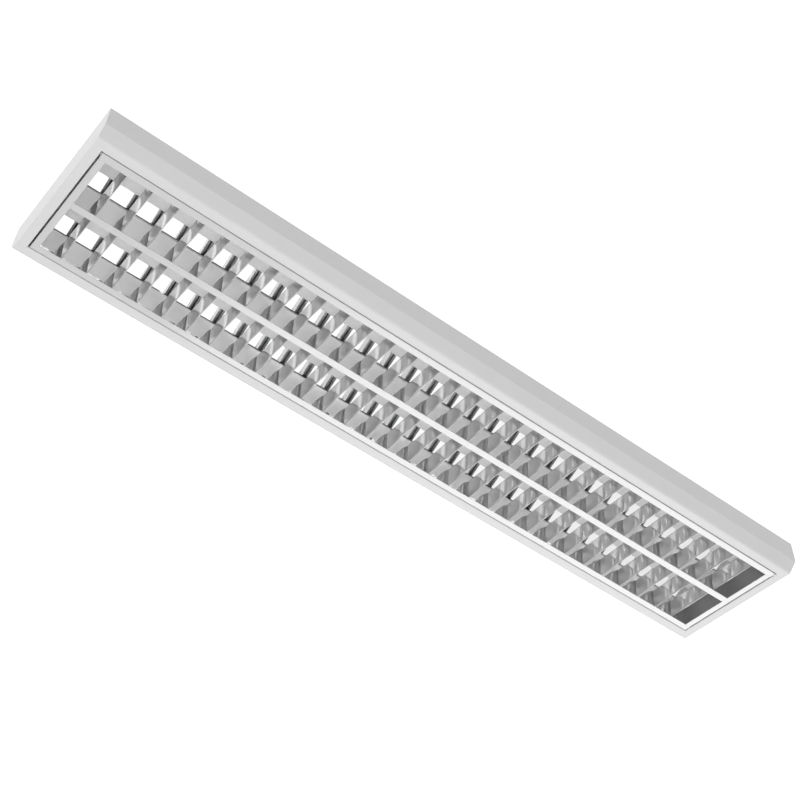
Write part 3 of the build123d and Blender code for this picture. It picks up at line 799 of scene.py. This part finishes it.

# End panels. Flat panels cut from plain aluminium sheet, which stand over the end rails and close
# each lane at both ends.

# Dull rolled aluminium: matt, the finish of sheet that only closes the ends, and darker than bare
# sheet as painted shade for the dark ends of the lanes.
dull_and_shaded_aluminium, tree = finish_named("dull rolled aluminium with painted shade")
place = add_node(tree, "ShaderNodeTexCoord")
across = add_node(
    tree,
    "ShaderNodeMapping",
    {"Scale": (1 / (1.5 * mm), 1 / (60 * mm), 1 / (1.5 * mm))},
    {"Vector": place.outputs["Object"]},
)
lines = add_node(
    tree, "ShaderNodeTexNoise", {"Scale": 1.0, "Detail": 3.0}, {"Vector": across.outputs["Vector"]}
)
haze = add_node(
    tree, "ShaderNodeMapRange", {"To Min": 0.4, "To Max": 0.55}, {"Value": lines.outputs["Fac"]}
)
# Painted shade: the dark grey tone stands in for the shade at the ends of the lanes.
tone = add_node(
    tree,
    "ShaderNodeMix",
    {"A": linear("#929292"), "B": linear("#A0A0A0")},
    {"Factor": lines.outputs["Fac"]},
    data_type="RGBA",
)
shader = add_node(
    tree,
    "ShaderNodeBsdfPrincipled",
    {"Metallic": 0.7},
    {"Base Color": tone.outputs["Result"], "Roughness": haze.outputs["Result"]},
)
add_node(tree, "ShaderNodeOutputMaterial", links={"Surface": shader.outputs["BSDF"]})
coat(dull_and_shaded_aluminium, "louvre_end_panels")

# Cross blades. Each is a narrow V folded from thin strip, its faces hollowed and its top edges folded
# in to a slot, with its ends cut to the curve of the lane walls. Satin outside, mill finish inside.
face_z = cad_box[0][2]
lane_length = 1149.6 * mm
lane_near = 5.2 * mm
lane_far = 83.3 * mm
wall_foot = 0.8 * mm
wall_tall = 35.0 * mm
wall_lean = 6.4 * mm
wall_bow = 1.248 * mm
wall_play = 0.12 * mm
blade_count = 30
group_size = 10
first_cell = 30.5 * mm
blade_pitch = (lane_length - 2 * first_cell) / (blade_count - 1)
blade_tall = 26.8 * mm
blade_half = 4.2 * mm
blade_hollow = 0.45 * mm
blade_strip = 0.4 * mm
nose = 0.6 * mm
nose_turn = 0.35
nose_points = 5
face_steps = 12
slot_half = 0.9 * mm


def wall_inset(rise):
    """How far a lane wall leans over the lane at a height above the lower face."""
    part = max(rise - wall_foot, 0.0) / wall_tall
    return wall_lean * part - 4 * wall_bow * part * (1 - part)


def blade_profile():
    """Half of the outer line of a blade: round the nose, up the hollow face and in along the top."""
    turns = [nose_turn * point for point in range(nose_points)]
    line = [(nose * math.sin(turn), nose - nose * math.cos(turn)) for turn in turns]
    for step in range(1, face_steps + 1):
        part = step / face_steps
        hollow = 4 * blade_hollow * part * (1 - part)
        line.append((nose + (blade_half - nose) * part - hollow, nose + (blade_tall - nose) * part))
    line.append((slot_half, blade_tall))
    return line


# Satin anodised aluminium: an even soft grey metal with fine brushing across the lane.
satin_aluminium, tree = finish_named("satin anodised aluminium")
place = add_node(tree, "ShaderNodeTexCoord")
across = add_node(
    tree,
    "ShaderNodeMapping",
    {"Scale": (1 / (1.2 * mm), 1 / (40 * mm), 1 / (1.2 * mm))},
    {"Vector": place.outputs["Object"]},
)
brushing = add_node(
    tree, "ShaderNodeTexNoise", {"Scale": 1.0, "Detail": 3.0}, {"Vector": across.outputs["Vector"]}
)
haze = add_node(
    tree, "ShaderNodeMapRange", {"To Min": 0.13, "To Max": 0.15}, {"Value": brushing.outputs["Fac"]}
)
tone = add_node(
    tree,
    "ShaderNodeMix",
    {"A": linear("#D4D4D4"), "B": linear("#D8D8D8")},
    {"Factor": brushing.outputs["Fac"]},
    data_type="RGBA",
)
shader = add_node(
    tree,
    "ShaderNodeBsdfPrincipled",
    {"Metallic": 0.45},
    {"Base Color": tone.outputs["Result"], "Roughness": haze.outputs["Result"]},
)
add_node(tree, "ShaderNodeOutputMaterial", links={"Surface": shader.outputs["BSDF"]})

# Mill finish aluminium: the plain back of the strip, matt and mottled.
mill_aluminium, tree = finish_named("mill finish aluminium")
place = add_node(tree, "ShaderNodeTexCoord")
grain = add_node(
    tree, "ShaderNodeTexNoise", {"Scale": 1 / (3 * mm), "Detail": 2.0}, {"Vector": place.outputs["Object"]}
)
tone = add_node(
    tree,
    "ShaderNodeMix",
    {"A": linear("#B4B5B6"), "B": linear("#C8C9CA")},
    {"Factor": grain.outputs["Fac"]},
    data_type="RGBA",
)
shader = add_node(
    tree,
    "ShaderNodeBsdfPrincipled",
    {"Metallic": 0.35, "Roughness": 0.5},
    {"Base Color": tone.outputs["Result"]},
)
add_node(tree, "ShaderNodeOutputMaterial", links={"Surface": shader.outputs["BSDF"]})

for lane, side in (("hinge_side", -1), ("catch_side", 1)):
    for place_in_row, group in enumerate(("left", "middle", "right")):
        shape = bmesh.new()
        half = blade_profile()
        line = [(-x, z) for x, z in half[:0:-1]] + half
        first = place_in_row * group_size
        for number in range(first, first + group_size):
            middle = first_cell - lane_length / 2 + number * blade_pitch
            near = [
                shape.verts.new((middle + x, side * (lane_near + wall_inset(z) + wall_play), face_z + z))
                for x, z in line
            ]
            edges = [shape.edges.new(pair) for pair in zip(near, near[1:])]
            drawn = bmesh.ops.extrude_edge_only(shape, edges=edges)["geom"]
            for vert in (v for v in drawn if isinstance(v, bmesh.types.BMVert)):
                vert.co.y = side * (lane_far - wall_inset(vert.co.z - face_z) - wall_play)
        bmesh.ops.recalc_face_normals(shape, faces=shape.faces)
        mesh = bpy.data.meshes.new(f"blades_{group}_{lane}")
        shape.to_mesh(mesh)
        shape.free()
        blades = bpy.data.objects.new(f"blades_{group}_{lane}", mesh)
        scene.collection.objects.link(blades)
        mesh.materials.append(satin_aluminium)
        mesh.materials.append(mill_aluminium)
        mesh.shade_smooth()
        mesh.set_sharp_from_angle(angle=math.radians(50))
        wall = blades.modifiers.new("strip thickness", "SOLIDIFY")
        wall.thickness = blade_strip
        wall.offset = -1.0
        wall.material_offset = 1
        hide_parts(f"louvre_blades_{group}_{lane}")
        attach(blades, "louvre")

# Corner blocks. Four blocks moulded from white nylon, one in each corner of the louvre frame, with an
# arm along the end rail. The two on the hinge side hold the pivot pins.
coat(white_nylon, "corner_block")

# Pivots. Two brackets pressed from zinc plated steel, which hang from studs under the roof, and two
# pins of the same finish, which turn in the brackets' eyes as the louvre swings down.
coat(zinc_plate, "pivot_")

# Floor. Wide, pale and well below, so nothing of it comes between the light and the camera.
# It fades to grey far out, where the sides of the body would mirror it.
bpy.ops.mesh.primitive_circle_add(vertices=64, radius=24.0, fill_type="NGON", location=(0, 0, -4.0))
floor = bpy.context.object
floor.name = "floor"
floor_white, tree = finish_named("pale floor")
place = add_node(tree, "ShaderNodeTexCoord")
radius = add_node(
    tree, "ShaderNodeVectorMath", {1: (-1.5, 0, 0)}, {0: place.outputs["Object"]}, operation="DISTANCE"
)
far = add_node(
    tree, "ShaderNodeMapRange", {"From Min": 3.0, "From Max": 10.0}, {"Value": radius.outputs["Value"]}
)
tone = add_node(
    tree,
    "ShaderNodeMix",
    {"A": linear("#FCFCFC"), "B": linear("#A6A6A6")},
    {"Factor": far.outputs["Result"]},
    data_type="RGBA",
)
shader = add_node(
    tree, "ShaderNodeBsdfPrincipled", {"Roughness": 0.8}, {"Base Color": tone.outputs["Result"]}
)
add_node(tree, "ShaderNodeOutputMaterial", links={"Surface": shader.outputs["BSDF"]})
floor.data.materials.append(floor_white)

# Softbox. It stands low down beyond the far end, where the glossy rails mirror it towards that end.
# It shows only in glossy faces, so the flange beside the rails keeps an even tone.
softbox = bpy.data.objects.new("softbox", bpy.data.lights.new("softbox", "AREA"))
softbox.data.shape = "SQUARE"
softbox.data.size = 3.3
softbox.data.energy = 105.0
softbox.location = (2.75, 3.0, -2.7)
aim = Vector((0.3, 0.0, 0.0)) - softbox.location
softbox.rotation_euler = aim.to_track_quat("-Z", "Y").to_euler()
softbox.visible_diffuse = False
scene.collection.objects.link(softbox)

# Bounce light. A second softbox, turned down to the floor on the near side, which sends its light
# back up into the cells and on to the flange.
bounce = bpy.data.objects.new("bounce", bpy.data.lights.new("bounce", "AREA"))
bounce.data.shape = "SQUARE"
bounce.data.size = 3.0
bounce.data.energy = 70.0
bounce.location = (-1.6, -1.4, -1.6)
scene.collection.objects.link(bounce)
